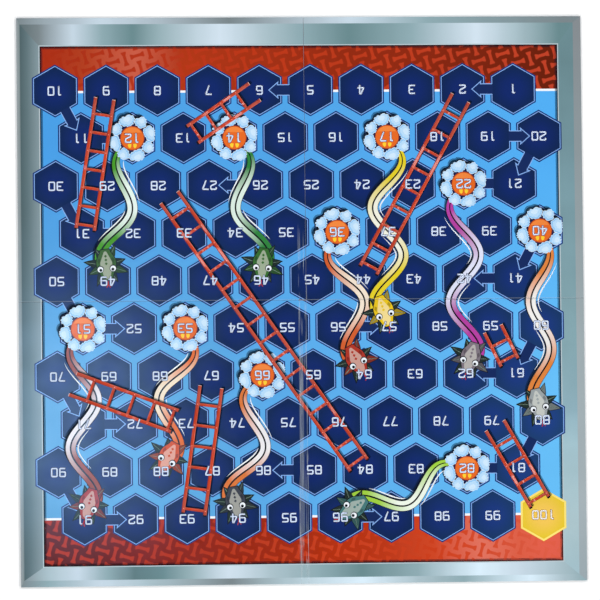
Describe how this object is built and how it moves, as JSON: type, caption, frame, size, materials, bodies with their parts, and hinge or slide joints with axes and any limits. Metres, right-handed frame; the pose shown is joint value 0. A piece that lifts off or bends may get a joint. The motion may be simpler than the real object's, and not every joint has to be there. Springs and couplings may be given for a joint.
{
  "type": "snakes and ladders board",
  "caption": "Square folding game board: four greyboard quarters under one printed sheet, with a creased spine, a slit flap and a lined back.",
  "frame": {"origin": "middle of the board's underside, on the table, with the board lying open", "axes": "+X to the right and +Y up the board as it lies in the picture, +Z out of the printed face"},
  "size_m": [0.4, 0.4, 0.0021],
  "materials": {
    "greyboard": "raw grey pulp board, matt",
    "printed_sheet": "silvery green printed paper under a satin varnish",
    "lining_paper": "plain blue lining paper, matt",
    "crease": "bare bent paper, worn at the ridge",
    "field_ink": "light blue ink, satin varnish",
    "band_ink": "red ink with a tone-on-tone tread pattern, satin varnish",
    "cell_ink": "navy ink with a thin white keyline, satin varnish",
    "goal_ink": "yellow ink, satin varnish",
    "rosette_ink": "pale blue ink round an orange disc, satin varnish",
    "snake_ink": "many-coloured striped ink, satin varnish",
    "ladder_ink": "red-orange ink, satin varnish"
  },
  "bodies": {
    "bottom_left": {"core_bottom_left": "greyboard", "face_bottom_left": "printed_sheet", "liner_bottom_left": "lining_paper", "left_fold_crease": "crease", "field_bottom_left": "field_ink", "bands_bottom_left": "band_ink", "cells_bottom_left": "cell_ink", "rosettes_bottom_left": "rosette_ink", "snakes_bottom_left": "snake_ink", "ladders_bottom_left": "ladder_ink"},
    "top_left": {"core_top_left": "greyboard", "face_top_left": "printed_sheet", "liner_top_left": "lining_paper", "flap_print": "printed_sheet", "flap_liner": "lining_paper", "field_top_left": "field_ink", "field_flap": "field_ink", "bands_top_left": "band_ink", "bands_flap": "band_ink", "cells_top_left": "cell_ink", "cells_flap": "cell_ink", "rosettes_top_left": "rosette_ink", "snakes_top_left": "snake_ink", "ladders_top_left": "ladder_ink"},
    "spine": {"spine_print": "printed_sheet", "spine_liner": "lining_paper", "spine_crease_left": "crease", "spine_crease_right": "crease", "field_spine": "field_ink", "bands_spine": "band_ink", "cells_spine": "cell_ink", "ladders_spine": "ladder_ink"},
    "bottom_right": {"core_bottom_right": "greyboard", "face_bottom_right": "printed_sheet", "liner_bottom_right": "lining_paper", "right_fold_crease": "crease", "field_bottom_right": "field_ink", "bands_bottom_right": "band_ink", "cells_bottom_right": "cell_ink", "goal_cell": "goal_ink", "rosettes_bottom_right": "rosette_ink", "snakes_bottom_right": "snake_ink", "ladders_bottom_right": "ladder_ink"},
    "top_right": {"core_top_right": "greyboard", "face_top_right": "printed_sheet", "liner_top_right": "lining_paper", "field_top_right": "field_ink", "bands_top_right": "band_ink", "cells_top_right": "cell_ink", "rosettes_top_right": "rosette_ink", "snakes_top_right": "snake_ink", "ladders_top_right": "ladder_ink"}
  },
  "joints": [
    {"name": "left_fold", "type": "hinge", "parent": "bottom_left", "child": "top_left", "pos_m": [-0.1, 0, 0.0022], "axis": [1, 0, 0], "range_deg": [0, 180], "deforming": ["left_fold_crease"]},
    {"name": "spine_fold", "type": "hinge", "parent": "bottom_left", "child": "spine", "pos_m": [-0.0025, -0.1, 0.0022], "axis": [0, -1, 0], "range_deg": [0, 90], "deforming": ["spine_crease_left", "flap_print", "flap_liner", "field_flap", "bands_flap", "cells_flap"]},
    {"name": "spine_wrap", "type": "hinge", "parent": "spine", "child": "bottom_right", "pos_m": [0.0025, -0.1, 0.0022], "axis": [0, -1, 0], "range_deg": [0, 90], "deforming": ["spine_crease_right"]},
    {"name": "right_fold", "type": "hinge", "parent": "bottom_right", "child": "top_right", "pos_m": [0.1, 0, 0.0022], "axis": [1, 0, 0], "range_deg": [0, 180], "deforming": ["right_fold_crease"]}
  ]
}
